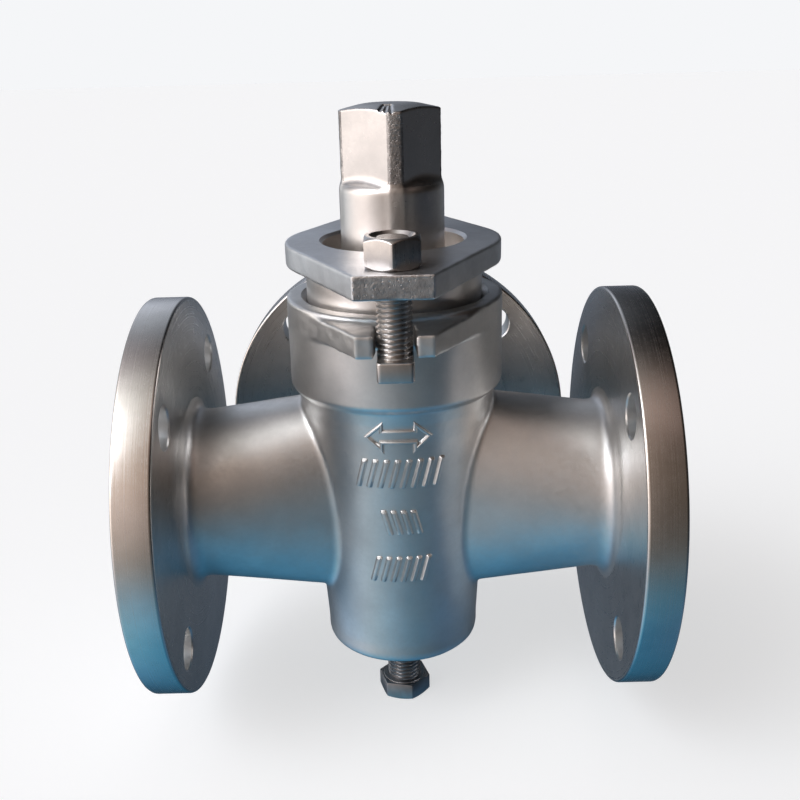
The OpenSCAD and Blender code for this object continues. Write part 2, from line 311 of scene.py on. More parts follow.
def surface_nets(name, field, axes):
    """Closed quad mesh on the zero level of a field sampled on a grid, negative inside."""
    shape = np.array(field.shape)
    cells = shape - 1
    strides = np.array([cells[1] * cells[2], cells[2], 1])
    ids, places, quads = [], [], []
    for axis in range(3):
        a = np.moveaxis(field, axis, 0)
        crossing = np.moveaxis((a[:-1] < 0) != (a[1:] < 0), 0, axis)
        at = np.argwhere(crossing)
        after = at.copy()
        after[:, axis] += 1
        f0, f1 = field[tuple(at.T)], field[tuple(after.T)]
        place = at.astype(float)
        place[:, axis] += f0 / (f0 - f1)
        u, v = (axis + 1) % 3, (axis + 2) % 3
        around = []
        for du, dv in ((-1, -1), (0, -1), (0, 0), (-1, 0)):
            cell = at.copy()
            cell[:, u] += du
            cell[:, v] += dv
            around.append(cell @ strides)
            ids.append(around[-1])
            places.append(place)
        quad = np.stack(around, 1)
        quads.append(np.where((f0 < 0)[:, None], quad, quad[:, ::-1]))
    ids, places = np.concatenate(ids), np.concatenate(places)
    cell_ids, back = np.unique(ids, return_inverse=True)
    count = np.bincount(back)
    points = np.stack([np.bincount(back, places[:, k]) / count for k in range(3)], 1)
    faces = np.searchsorted(cell_ids, np.concatenate(quads))
    points = np.stack(
        [np.interp(points[:, k], np.arange(len(a)), a) for k, a in enumerate(axes)], 1)
    mesh = bpy.data.meshes.new(name)
    mesh.vertices.add(len(points))
    mesh.vertices.foreach_set("co", (points * MM).astype(np.float32).ravel())
    mesh.loops.add(faces.size)
    mesh.loops.foreach_set("vertex_index", faces.astype(np.int32).ravel())
    mesh.polygons.add(len(faces))
    mesh.polygons.foreach_set("loop_start", np.arange(0, faces.size, 4, dtype=np.int32))
    mesh.update(calc_edges=True)
    mesh.validate()
    return link(name, mesh)


def axis_points(*parts):
    """Grid positions from parts of (start, end, step); each part starts where the last one ends."""
    out = []
    for start, end, step in parts:
        n = max(1, round((end - start) / step))
        out += [start + (end - start) * k / n for k in range(n)]
    return np.array(out + [parts[-1][1]], np.float32)


def open_grid(axes):
    """The three axes' positions, shaped to broadcast into one grid."""
    return [a.reshape([-1 if k == axis else 1 for k in range(3)]) for axis, a in enumerate(axes)]


def shut(field):
    """Sets the grid's outer layer to outside, so the mesh closes."""
    field[[0, -1]] = field[:, [0, -1]] = field[:, :, [0, -1]] = FAR_OUTSIDE


def soft_min(a, b, k):
    """Union of two fields, with a fillet about k wide."""
    h = np.maximum(k - np.abs(a - b), 0) / k
    return np.minimum(a, b) - h * h * (k / 4)


def soft_max(a, b, k):
    """Intersection of two fields, with an edge rounded about k wide."""
    return -soft_min(-a, -b, k)


def outline_distance(points, x, y):
    """Signed distance of (x, y) from a closed outline, negative inside."""
    best = np.full(np.broadcast(x, y).shape, 1e9, np.float32)
    inside = np.zeros(best.shape, bool)
    for (x0, y0), (x1, y1) in zip(points, points[1:] + points[:1]):
        dx, dy = x1 - x0, y1 - y0
        if dx * dx + dy * dy < 1e-12:
            continue
        t = np.clip(((x - x0) * dx + (y - y0) * dy) / (dx * dx + dy * dy), 0, 1)
        best = np.minimum(best, np.hypot(x - x0 - t * dx, y - y0 - t * dy))
        if dy:
            cross = (y0 > y) != (y1 > y)
            inside ^= cross & (x < dx * (y - y0) / dy + x0)
    return np.where(inside, -best, best)


def turned_field(profile, x, y, z, dr=0.25):
    """Distance field of a profile of (radius, z) turned about Z."""
    rho = np.hypot(x, y)[:, :, 0]
    r = np.arange(0, rho.max() + 2 * dr, dr, dtype=np.float32)[:, None]
    table = outline_distance(profile, r, z[0, 0][None, :])
    k = rho / dr
    i = k.astype(int)
    f = (k - i)[:, :, None].astype(np.float32)
    return table[i] * (1 - f) + table[i + 1] * f


def waviness(x, y, z, size, seed):
    """Smooth unevenness between about -1 and 1, with features of a given size."""
    rng = np.random.default_rng(seed)
    total = 0
    for _ in range(5):
        kx, ky, kz = rng.normal(size=3)
        n = math.sqrt(kx * kx + ky * ky + kz * kz) * size / (2 * math.pi)
        phase = rng.uniform(0, 2 * math.pi)
        total = total + np.sin((kx * x + ky * y + kz * z) / n + phase)
    return total / 3


def neck_field(u, v, z):
    """A neck along +u: a tall oval at the barrel, round at the flange, with its root fillet."""
    disc_r, inside = 66, BACK + 6
    t = np.clip((u - NECK_START) / (BACK - NECK_START), 0, 1)
    a = NECK_HALF_W + (NECK_R - NECK_HALF_W) * t
    b = NECK_HALF_H + (NECK_R - NECK_HALF_H) * t
    n = 2.5 - 0.5 * t
    p, q = np.abs(v) / a + 1e-4, np.abs(z) / b + 1e-4
    h = (p**n + q**n) ** (1 / n)
    slope = np.hypot((p / h) ** (n - 1) / a, (q / h) ** (n - 1) / b)
    tube = np.maximum((h - 1) / slope, np.maximum(-u, u - inside))
    disc = np.maximum(np.hypot(v, z) - disc_r, np.maximum(BACK + 0.04 - u, u - inside))
    return soft_min(tube, disc, 8)


def touch(p, r, side):
    """Where a line from p touches a circle of radius r about the axis."""
    a = math.atan2(p[1], p[0]) + side * math.acos(r / math.hypot(*p))
    return r * math.cos(a), r * math.sin(a)


def lug_outline():
    """The front lug with its bolt slot, drawn back into the stuffing box."""
    front = (15.2, -LUG_REACH)
    s = touch(front, BOX_R - 1, 1)
    w, reach = SLOT_W / 2, LUG_REACH
    return [
        (-front[0], front[1]), (-w - SLOT_FLARE, -reach), (-w, -BOLT_OFFSET + 2),
        (-w, -BOX_R - 3), (w, -BOX_R - 3),
        (w, -BOLT_OFFSET + 2), (w + SLOT_FLARE, -reach), front,
        s, (30, -20), (-30, -20), (-s[0], s[1]),
    ]


def cast_body():
    """The skin of the casting, without its machined faces and bores."""
    reach = BACK + 8.4
    axes = [
        axis_points((-reach, -BACK - 1, 1.2), (-BACK - 1, -BACK + 6, 0.9), (-BACK + 6, -50, 1.5),
                    (-50, -24, 0.9), (-24, 24, 0.75), (24, 50, 0.9),
                    (50, BACK - 6, 1.5), (BACK - 6, BACK + 1, 0.9), (BACK + 1, reach, 1.2)),
        axis_points((-68.4, -46, 0.7), (-46, 46, 1.1), (46, 68, 0.8), (68, BACK - 6, 1.4),
                    (BACK - 6, BACK + 1, 0.9), (BACK + 1, reach, 1.2)),
        axis_points((-78.4, -66, 0.8), (-66, 36, 1.3), (36, 60, 0.6), (60, 79, 1.2),
                    (79, BOX_TOP + 3.6, 0.6)),
    ]
    x, y, z = open_grid(axes)
    low_r = BARREL_R + SLOPE * (BARREL_BOTTOM + 9)
    boss_r, boss_bottom = 17, -76
    profile = rounded([
        (-20, boss_bottom), (boss_r, boss_bottom, 1.2), (boss_r, BARREL_BOTTOM, 1.2),
        (low_r, BARREL_BOTTOM, 9), (low_r, BARREL_BOTTOM + 9), (BARREL_R + SLOPE * 38, 38),
        (BARREL_R + SLOPE * 46 + 0.4, 46, 3), (BARREL_R + SLOPE * 51 + 1.2, 51.6, 1.5),
        (BOX_R - 0.6, 53.6, 0.8), (BOX_R, 54.8, 0.8), (BOX_R, BOX_TOP, 0.9), (-20, BOX_TOP),
    ])
    field = turned_field(profile, x, y, z)
    slab = np.abs(z - (LUG_LOW + LUG_HIGH) / 2) - (LUG_HIGH - LUG_LOW) / 2 + 0.5
    wave = 0.14 * waviness(x, y, z, 7, 3)
    for turn in (1, -1):
        outline = [(turn * px, turn * py) for px, py in lug_outline()]
        lug = outline_distance(outline, x, y) + 0.5
        field = soft_min(field, soft_max(lug, slab, 1.2) - 0.5 + wave, 1.8)
    necks = np.minimum(neck_field(x, y, z), neck_field(-x, y, z))
    necks = np.minimum(necks, neck_field(y, x, z))
    field = soft_min(field, necks, 2.2)
    calm = np.clip((BACK - 4 - np.maximum(np.abs(x), y)) / 8, 0, 1)
    field = field + 0.06 * calm * waviness(x, y, z, 16, 7)
    shut(field)
    return surface_nets("body_casting", field, axes)


def flange_profile():
    """(radius, height) of a turned flange; the height runs out along the pipe."""
    return rounded([
        (20, BACK + 2), (24, BACK + 0.4), (24, BACK), (FLANGE_R, BACK, 1.3), (FLANGE_R, RIM, 1.3),
        (RAISED_R + 0.6, RIM, 0.8), (RAISED_R - 0.2, FACE, 0.5), (20, FACE),
    ])


def port_window(a):
    """Where a ray at an angle meets the rounded window in the seat."""
    hw, hh, c = PORT_HALF_W, PORT_HALF_H, PORT_CORNER
    d = (math.cos(a), math.sin(a))
    s = min(hw / max(abs(d[0]), 1e-9), hh / max(abs(d[1]), 1e-9))
    px, py = abs(d[0]) * s, abs(d[1]) * s
    if px > hw - c and py > hh - c:
        cx, cy = hw - c, hh - c
        b = abs(d[0]) * cx + abs(d[1]) * cy
        s = b + math.sqrt(max(b * b - (cx * cx + cy * cy - c * c), 0))
        px, py = abs(d[0]) * s, abs(d[1]) * s
    return math.copysign(px, d[0]), math.copysign(py, d[1])


def port_cutter(reach, n=96):
    """Flow passage from the seat out through a flange, along +X, from window to round bore."""
    angles = [2 * math.pi * (k + 0.5) / n for k in range(n)]
    start, end = 34, BACK - 3
    sections = []
    for x in (20, start, *np.linspace(38, 88, 14), BACK - 1, reach - 1.2, reach - 0.4, reach + 2):
        t = np.clip((x - start) / (end - start), 0, 1)
        t = t * t * (3 - 2 * t)
        r = BORE_R + max(0, x - (reach - 1.2)) * 0.9
        row = []
        for a in angles:
            wx, wy = port_window(a)
            cx, cy = r * math.cos(a), r * math.sin(a)
            row.append((x, wx + (cx - wx) * t, wy + (cy - wy) * t))
        sections.append(row)
    return loft("port", sections)


# -------- raised marks on the barrel

def on_barrel(across, up, rise):
    """A point on the barrel's front, a rise above its skin."""
    r = BARREL_R + SLOPE * up
    a = across / r
    return (r + rise) * math.sin(a), -(r + rise) * math.cos(a), up


def left_of(way):
    """Unit vectors square to rows of (x, y), on their left."""
    return np.stack([-way[:, 1], way[:, 0]], 1) / np.linalg.norm(way, axis=1)[:, None]


def stroke(path, width, height):
    """A closed raised line on the barrel's front, along a closed path of (across, up)."""
    pts = np.array(spaced(path, 1.2))
    ahead = np.roll(pts, -1, 0) - pts
    na, nb = left_of(ahead), left_of(np.roll(ahead, 1, 0))
    miter = (na + nb) / (1 + (na * nb).sum(1))[:, None]
    w = width / 2
    section = [
        (-w - 0.35, -1.2), (-w - 0.35, 0.0), (-w - 0.1, 0.25 * height), (-w + 0.15, 0.8 * height),
        (-w + 0.5, height), (w - 0.5, height), (w - 0.15, 0.8 * height),
        (w + 0.1, 0.25 * height), (w + 0.35, 0.0), (w + 0.35, -1.2),
    ]
    points = [on_barrel(*(p + d * off), rise) for p, d in zip(pts, miter) for off, rise in section]
    return tube("mark", points, len(pts))


def pad_mark(cx, cy, corners, height):
    """A raised pad on the barrel's front, with sloping sides and soft edges."""
    pts = np.array(spaced(rounded([(x, y, 0.5) for x, y in corners], steps=3), 0.9))
    ahead = np.roll(pts, -1, 0) - pts
    out = left_of(ahead + np.roll(ahead, 1, 0))
    if (out * pts).sum() < 0:
        out = -out
    # how far each ring lies outside the outline, and how high, as a share of the height if raised
    rings = [(0.35, -1.2), (0.35, 0.0), (0.1, 0.2), (-0.25, 0.75), (-0.5, 0.96), (-0.8, 1.0)]
    points = []
    for grow, h in rings:
        rise = h * height if h > 0 else h
        points += [on_barrel(cx + x, cy + y, rise) for x, y in pts + out * grow]
    points.append(on_barrel(cx, cy, height))
    n = len(pts)
    faces = [tuple(range(n))]
    for k in range(len(rings) - 1):
        faces += band(k * n, (k + 1) * n, n)
    last = (len(rings) - 1) * n
    faces += [(last + i, last + (i + 1) % n, len(points) - 1) for i in range(n)]
    return make("mark", points, faces)


def marks():
    """An arrow and three bands of slanted ribs: plain relief, no letters or figures."""
    arrow = [(-13.2, 0), (-7, 5.6), (-7, 2.4), (7, 2.4), (7, 5.6), (13.2, 0),
             (7, -5.6), (7, -2.4), (-7, -2.4), (-7, -5.6)]
    obs = [stroke([(x + 0.2, y + 41.2) for x, y in arrow], 1.5, MARK_HEIGHT)]
    # height on the barrel, first and last rib across, number of ribs, lean, half height
    bands = (
        (24.0, -16.0, 17.4, 8, 3.4, 6.4),
        (0.7, -5.6, 7.2, 4, -3.0, 5.7),
        (-22.6, -11.0, 11.0, 6, 3.2, 6.1),
    )
    w = 1.1
    for up, low, high, count, lean, h in bands:
        for k in range(count):
            across = low + (high - low) * k / (count - 1)
            rib = [(lean / 2 - w, h), (lean / 2 + w, h), (-lean / 2 + w, -h), (-lean / 2 - w, -h)]
            obs.append(pad_mark(across, up, rib, MARK_HEIGHT))
    return join("marks", obs)


# -------- pieces

def bolt_holes():
    """Cutters for the bolt holes of all three flanges, countersunk at both faces."""
    r = BOLT_HOLE_R
    profile = [
        (0, BACK - 3), (r + 3.6, BACK - 3), (r, BACK + 0.6), (r, RIM - 0.6),
        (r + 3.6, RIM + 3), (0, RIM + 3)]
    holes = []
    for turn in PORT_TURNS:
        for k in range(4):
            a = math.radians(45 + 90 * k)
            hole = lathe("hole", profile, 64)
            moved(hole, 0, (BOLT_CIRCLE_R * math.cos(a), BOLT_CIRCLE_R * math.sin(a), 0))
            holes.append(moved(hole, turn, tip=True))
    return join("holes", holes)


def build_body():
    """The casting with its flanges turned, its seat, box, ports and holes cut."""
    body = cast_body()
    flanges = [moved(lathe("flange", flange_profile(), 256), turn, tip=True) for turn in PORT_TURNS]
    add(body, join("flanges", flanges))
    add(body, marks())
    carve(body, bolt_holes())
    seat = SEAT_GAP + PLUG_R
    low_r = seat + SLOPE * SEAT_LOW
    well = lathe("well", [
        (0, WELL_FLOOR), (low_r - 1, WELL_FLOOR), (low_r, WELL_FLOOR + 1), (low_r, SEAT_LOW),
        (seat + SLOPE * SEAT_TOP, SEAT_TOP), (BOX_BORE_R, SEAT_TOP), (BOX_BORE_R, BOX_TOP - 2.4),
        (BOX_BORE_R + 0.4, BOX_TOP - 1.8), (BOX_BORE_R + 2.6, BOX_TOP + 0.2),
        (BOX_BORE_R + 2.6, BOX_TOP + 4), (0, BOX_TOP + 4)], 192)
    carve(body, well)
    r = JACK_R + THREAD_GAP
    tap = lathe("tap", [(0, -80), (9.2, -80), (9.2, -76.5), (r, -75.3), (r, -58), (0, -58)], 64)
    carve(body, tap)
    for turn in PORT_TURNS:
        carve(body, moved(port_cutter(FACE), turn))
    return finish_mesh(body)


def square_field(x, y, z):
    """The plug's stem and its operator square, with milled flats and as-cast corners."""
    rho = np.hypot(x, y)
    top = PLUG_HIGH[2]
    corners = rho - SQUARE_CORNER_R
    corners = corners + 0.06 * waviness(x, y, z, 1.7, 11) + 0.06 * waviness(x, y, z, 3.4, 12)
    planes = None
    for k in range(4):
        a = math.radians(SQUARE_TURN + 90 * k)
        side = math.cos(a) * x + math.sin(a) * y - SQUARE_AF / 2
        planes = side if planes is None else np.maximum(planes, side)
    crown = soft_max((rho - CROWN_R) * CROWN_SLOPE + (z - top + 0.1), z - top + 0.02, 0.8)
    head = soft_max(soft_max(corners, planes, 0.35), crown, 0.6)
    shelf = (z - SQUARE_LOW + 0.5 * (rho - 18.4)) * 0.894
    below = JOURNAL_TOP - 2.5 - z
    stem = np.maximum(soft_max(rho - STEM_R, shelf, 2.2), below)
    field = soft_min(stem, np.maximum(head, below), 2.4)
    # three short grooves across the crown's front edge
    for angle in (-102, -95, -88):
        a = math.radians(angle)
        along = x * math.cos(a) + y * math.sin(a)
        t = np.clip(along, 10, 24)
        aside = np.hypot(x - t * math.cos(a), y - t * math.sin(a))
        height = z - top + 0.05 + CROWN_SLOPE * np.maximum(t - CROWN_R, 0)
        field = soft_max(field, GROOVE_R - np.hypot(aside, height), 0.2)
    return field


def plug_port(a, b):
    """Cutter for a port through the plug along X, from a to b."""
    w, h, c = PORT_HALF_W, PORT_HALF_H, PORT_CORNER
    outline = rounded([(-w, -h, c), (w, -h, c), (w, h, c), (-w, h, c)], steps=8)
    return loft("port", [[(x, u, v) for u, v in outline] for x in (a, b)])


def build_plug():
    """Tapered plug with its T-shaped port, journal, stem and square in one piece."""
    high = PLUG_HIGH[2]
    flat = axis_points((-23.2, 23.2, 0.45))
    tall = axis_points((JOURNAL_TOP - 4.2, 137, 1.3), (137, 143.5, 0.3), (143.5, high - 3, 0.55),
                       (high - 3, high + 1.2, 0.35))
    axes = [flat, flat, tall]
    head = surface_nets("head", square_field(*open_grid(axes)).astype(np.float32), axes)
    low = PLUG_LOW[2]
    plug = lathe("plug_casting", rounded([
        (0, low + 3), (PAD_HOLE_R, low + 3), (PAD_HOLE_R, low, 0.4),
        (PLUG_R + SLOPE * low, low, 1.0),
        (PLUG_R + SLOPE * SEAT_TOP, SEAT_TOP, 0.6), (JOURNAL_R, SEAT_TOP, 0.5),
        (JOURNAL_R, JOURNAL_TOP, 1.4), (0, JOURNAL_TOP)], closed=False), 192)
    add(plug, head)
    carve(plug, plug_port(-60, 60))
    carve(plug, moved(plug_port(0, 60), 90))
    return finish_mesh(plug)


def gland_outline():
    """The gland flange from above: a round middle drawn out to an ear at each end."""
    px, py = 15.0, GLAND_HIGH[1]
    t = touch((px, py), GLAND_LOBE_R, -1)
    start = math.atan2(t[1], t[0])
    lobe = [(GLAND_LOBE_R * math.cos(a), GLAND_LOBE_R * math.sin(a))
            for a in np.linspace(-start, start, 33)]
    right = [(px, -py)] + lobe + [(px, py)]
    return right + [(-x, -y) for x, y in right]


def build_gland():
    """Gland flange and sleeve in one casting, bored for the stem and the two bolts."""
    foot, bottom, top = GLAND_LOW[2], GLAND_BOTTOM, GLAND_HIGH[2]
    axes = [axis_points((-48.3, 48.3, 0.75)),
            axis_points((-75.6, -66, 0.5), (-66, 66, 0.8), (66, 75.6, 0.5)),
            axis_points((bottom - 1.7, top + 1.7, 0.5))]
    x, y, z = open_grid(axes)
    edge = 0.7
    flat = outline_distance(gland_outline(), x, y) + 0.8
    slab = np.abs(z - (bottom + top) / 2) - (top - bottom) / 2 + edge
    inner = np.maximum(flat, slab)
    outer = np.sqrt(np.maximum(flat, 0) ** 2 + np.maximum(slab, 0) ** 2)
    field = np.where(outer > 0, outer, inner) - edge
    ends = np.clip((np.abs(y) - 66) / 5, 0, 1)
    field = field + ends * 0.03 * waviness(x, y, z, 2.0, 21) + 0.05 * waviness(x, y, z, 9, 22)
    shut(field)
    gland = surface_nets("gland_flange", field.astype(np.float32), axes)
    sleeve = lathe("sleeve", rounded([
        (20, foot), (SLEEVE_R, foot, 1.0), (SLEEVE_R, bottom - 1.2, 0.4),
        (SLEEVE_ROOT_R, bottom + 2.0), (20, bottom + 2.0)]), 192)
    add(gland, sleeve)
    r = GLAND_HOLE_R
    hole = lathe("hole", [
        (0, foot - 2), (r + 2.6, foot - 2), (r, foot + 0.8), (r, top - 1.3),
        (r + 2.4, top + 1.1), (r + 2.4, top + 4), (0, top + 4)], 192)
    carve(gland, hole)
    bolts = []
    for side in (-1, 1):
        bolt = lathe("hole", GLAND_BOLT_HOLE, 64)
        bolts.append(moved(bolt, 0, (0, side * BOLT_OFFSET, 0)))
    carve(gland, join("holes", bolts))
    return finish_mesh(gland)


def thread_radius(r, z, turn, low, high):
    """Radius of a screw thread at a height and angle, fading out at both ends."""
    phase = (z / PITCH - turn / (2 * math.pi)) % 1
    depth = 0.58 * PITCH
    tooth = np.clip((np.abs(2 * phase - 1) - 0.1) / 0.75, 0, 1)
    fade = np.clip((z - low) / PITCH, 0, 1) * np.clip((high - z) / (0.6 * PITCH) + 0.25, 0, 1)
    return r - depth * (1 - tooth) * fade


def threaded_rod(name, r, low, high, point=1.2, n=72):
    """A rod with a real helical thread and a chamfered upper end."""
    rows = np.arange(low, high - 1e-6, PITCH / 9)
    turn = np.linspace(0, 2 * math.pi, n, endpoint=False)
    points = [(0, 0, low)]
    for z in list(rows) + [high]:
        radius = np.minimum(thread_radius(r, z, turn, low, high), r - max(0, z - (high - point)))
        points += list(zip(radius * np.cos(turn), radius * np.sin(turn), np.full(n, z)))
    points.append((0, 0, high))
    m = len(rows) + 1
    faces = [(0, 1 + (i + 1) % n, 1 + i) for i in range(n)]
    for k in range(m - 1):
        faces += band(1 + k * n, 1 + (k + 1) * n, n)
    last = 1 + (m - 1) * n
    faces += [(last + i, last + (i + 1) % n, len(points) - 1) for i in range(n)]
    return make(name, points, faces)


def hex_blank(name, af, low, high, turn, ends, slope=0.52):
    """Hexagon with its corners turned off by a cone at the ends named, edges slightly worn."""
    blank = prism(name, hexagon(af, turn), low, high)
    corner = af / 2 / math.cos(math.pi / 6)
    face_r = af * 0.475
    drop = (corner - face_r) * slope
    low_end = [(corner + 3, low - 1)]
    high_end = [(corner + 3, high + 1)]
    if "low" in ends:
        low_end = [(face_r, low - 1), (face_r, low), (corner + 0.3, low + drop)]
    if "high" in ends:
        high_end = [(corner + 0.3, high - drop), (face_r, high), (face_r, high + 1)]
    cone = lathe("cone", [(0, low - 1)] + low_end + high_end + [(0, high + 1)], 96)
    combine(blank, cone, "INTERSECT")
    return apply(blank, "BEVEL", width=0.35 * MM, segments=2, limit_method="ANGLE",
                 angle_limit=math.radians(28))


def tapped_hole(r, low, high, top):
    """Cutter for a nut's hole, countersunk at both ends; top is how deep at the upper one."""
    r += THREAD_GAP
    return lathe("hole", [
        (0, low - 1), (r + 2.0, low - 1), (r, low + 1), (r, high - top),
        (r + 1 + top, high + 1), (0, high + 1)], 64)


def build_nut(name, side):
    """A gland nut, both faces chamfered."""
    low, high = NUT_LOW[2], NUT_HIGH[2]
    nut = hex_blank(name, NUT_AF, low, high, NUT_TURN, ("low", "high"), 0.85)
    carve(nut, tapped_hole(BOLT_R, low, high, 1.6))
    moved(nut, 0, (0, side * BOLT_OFFSET, 0))
    return finish_mesh(nut, 28)


def build_bolt(name, side):
    """A gland bolt: threaded to its T-head, which lies along the slot, under the lug."""
    w, h, r = BOLT_HIGH[0], (BOLT_HIGH[1] - BOLT_LOW[1]) / 2, 1.8
    outline = rounded([(-w, -h, r), (w, -h, r), (w, h, r), (-w, h, r)], steps=5)
    head = prism("head", outline, BOLT_LOW[2], LUG_LOW)
    apply(head, "BEVEL", width=0.7 * MM, segments=3, limit_method="ANGLE",
          angle_limit=math.radians(60))
    rod = threaded_rod(name, BOLT_R, LUG_LOW - 1.5, BOLT_HIGH[2])
    add(rod, head)
    moved(rod, 0, (0, side * BOLT_OFFSET, 0))
    return finish_mesh(rod, 40)


def build_jack():
    """The jack screw, head down, with a collar under its thread."""
    top, collar_r = JACK_HEAD_TOP, 10.2
    head = hex_blank("head", JACK_AF, JACK_LOW[2], top, JACK_TURN, ("low",))
    collar = lathe("collar", rounded([
        (0, top - 1), (collar_r, top - 1), (collar_r, top + 0.6, 0.4), (0, top + 0.6)],
        closed=False), 64)
    add(head, collar)
    rod = threaded_rod("jack_screw", JACK_R, top - 1, JACK_HIGH[2], 1.6)
    add(rod, head)
    return finish_mesh(rod, 40)


def build_lock_nut():
    """The lock nut under the barrel's boss."""
    low, high = LOCK_LOW[2], LOCK_HIGH[2]
    nut = hex_blank("jack_lock_nut", LOCK_AF, low, high, LOCK_TURN, ("low", "high"))
    carve(nut, tapped_hole(JACK_R, low, high, 1))
    return finish_mesh(nut, 28)


def build_seat_ring():
    """The plain turned ring under the packing."""
    inner, outer, r = SEAT_RING_INNER, SEAT_RING_OUTER, 0.5
    low, high = RING_LOW[2], RING_HIGH[2]
    outline = rounded([(inner, low, r), (outer, low, r), (outer, high, r), (inner, high, r)])
    return finish_mesh(lathe("seat_ring", outline, 160))


def build_pad():
    """The turned thrust pad between the jack screw and the plug."""
    r, low, high = PAD_HIGH[0], PAD_LOW[2], PAD_HIGH[2]
    outline = rounded([(0, low), (r, low, 1.0), (r, high, 0.6), (0, high)], closed=False)
    return finish_mesh(lathe("thrust_pad_turned", outline, 96))


def packing_ring(name, low, high):
    """Braided square packing: a turned ring whose faces carry a plait."""
    inner, outer = PACKING_INNER, PACKING_OUTER
    low, high = low + 0.06, high - 0.06
    loop = spaced(rounded([(inner, low, 1.0), (outer, low, 1.0), (outer, high, 1.0),
                           (inner, high, 1.0)], steps=3), 1.3, round)
    mid = np.array([(inner + outer) / 2, (low + high) / 2])
    n, m = 240, len(loop)
    points = []
    for k in range(n):
        a = 2 * math.pi * k / n
        along = a * PACKING_STRANDS
        for i, p in enumerate(loop):
            round_it = i * 2 * math.pi / m * 3
            plait = abs(math.sin(along + round_it)) * abs(math.sin(along - round_it))
            q = np.array(p) + (mid - p) * 0.035 * (1 - plait)
            points.append((q[0] * math.cos(a), q[0] * math.sin(a), q[1]))
    return finish_mesh(tube(name, points, n), 60)


# -------- materials

class Nodes:
    """Short way to write a material's or a world's nodes."""

    def __init__(self, owner, out="ShaderNodeOutputMaterial"):
        owner.use_nodes = True
        self.owner = owner
        self.tree = owner.node_tree
        self.tree.nodes.clear()
        self.out = self.add(out)

    def add(self, kind, inputs=None, **settings):
        """A node with its settings, and its inputs linked or given a value."""
        node = self.tree.nodes.new(kind)
        for key, value in settings.items():
            setattr(node, key, value)
        for key, value in (inputs or {}).items():
            self.feed(node.inputs[key], value)
        return node

    def feed(self, socket, value):
        """Links a socket or sets its value; a colour is given as red, green and blue."""
        if isinstance(value, bpy.types.NodeSocket):
            self.tree.links.new(value, socket)
        else:
            socket.default_value = (*value, 1.0) if socket.type == "RGBA" else value

    def noise(self, at, scale, detail, rough):
        node = self.add("ShaderNodeTexNoise", {
            "Vector": at, "Scale": scale, "Detail": detail, "Roughness": rough})
        return node.outputs["Fac"]

    def ramp(self, value, low, high, to_low=0.0, to_high=1.0):
        """Maps low..high of a value to to_low..to_high, and holds it there."""
        node = self.add("ShaderNodeMapRange", {
            "Value": value, "From Min": low, "From Max": high, "To Min": to_low, "To Max": to_high})
        return node.outputs["Result"]

    def math(self, how, a, b=0.0, c=0.0):
        node = self.add("ShaderNodeMath", {0: a, 1: b, 2: c}, operation=how)
        return node.outputs[0]

    def length(self, a, b):
        squares = [self.math("MULTIPLY", v, v) for v in (a, b)]
        return self.math("SQRT", self.math("ADD", *squares))

    def mix(self, share, a, b):
        """Colour a where share is 0, b where it is 1."""
        node = self.add("ShaderNodeMix", data_type="RGBA")
        for key, value in (("Factor", share), ("A", a), ("B", b)):
            self.feed(next(s for s in node.inputs
                           if s.name == key and (key == "Factor" or s.type == "RGBA")), value)
        return next(s for s in node.outputs if s.type == "RGBA")

    def place(self, scale=(1, 1, 1)):
        """Object coordinates in millimetres, stretched by scale."""
        at = self.add("ShaderNodeTexCoord").outputs["Object"]
        return self.vector("MULTIPLY", {0: at, 1: [1000 * s for s in scale]})

    def vector(self, how, inputs, out=0):
        return self.add("ShaderNodeVectorMath", inputs, operation=how).outputs[out]

    def bump(self, height, strength, distance):
        node = self.add("ShaderNodeBump", {
            "Height": height, "Strength": strength, "Distance": distance})
        return node.outputs["Normal"]

    def finish(self, shader):
        """Links the shader to the output, and gives back the material or world."""
        self.tree.links.new(shader.outputs[0], self.out.inputs["Surface"])
        return self.owner

    def metal(self, colour, metallic, gloss, normal):
        return self.finish(self.add("ShaderNodeBsdfPrincipled", {
            "Base Color": colour, "Metallic": metallic, "Roughness": gloss, "Normal": normal}))


def cast_metal(name, base, dark, rough, grain=1.0, pits=0.22, speckle=0.35):
    """Blasted stainless casting: grain, shallow pits, painted shade that darkens the hollows, edges
    worn bright.
    """
    n = Nodes(bpy.data.materials.new(name))
    at = n.place()
    cloud = n.noise(at, 0.045, 4, 0.6)
    mottle = n.noise(at, 0.5, 4, 0.65)
    fine = n.noise(at, 2.6, 3, 0.6)
    coarse = n.noise(at, 0.9, 3, 0.5)
    pit = n.ramp(n.noise(at, 0.85, 2, 0.5), 0.30, 0.40)
    colour = n.mix(n.ramp(cloud, 0.32, 0.68), base, dark)
    colour = n.mix(n.ramp(mottle, 0.40, 0.80, 0.0, speckle), colour, dark)
    sharp = n.add("ShaderNodeNewGeometry").outputs["Pointiness"]
    worn = n.math("MULTIPLY", n.ramp(sharp, 0.53, 0.60), n.ramp(mottle, 0.25, 0.55))
    colour = n.mix(worn, colour, WORN_EDGE)
    # painted shade: concave places, where pointiness is low, are mixed towards a near-black colour
    hollow_shade = n.ramp(sharp, 0.475, 0.40, 0.0, 0.45)
    colour = n.mix(hollow_shade, colour, PAINTED_HOLLOW_SHADE)
    gloss = n.math("ADD", n.ramp(mottle, 0.3, 0.7, rough - 0.05, rough + 0.06),
                   n.ramp(cloud, 0.3, 0.7, -0.03, 0.03))
    gloss = n.math("SUBTRACT", gloss, n.math("MULTIPLY", worn, 0.08))
    height = n.math("ADD", n.math("MULTIPLY", fine, 0.5 * grain),
                    n.math("MULTIPLY", coarse, 0.55 * grain))
    height = n.math("ADD", height, n.math("MULTIPLY", pit, pits))
    return n.metal(colour, 1.0, gloss, n.bump(height, 0.45, 0.00010))


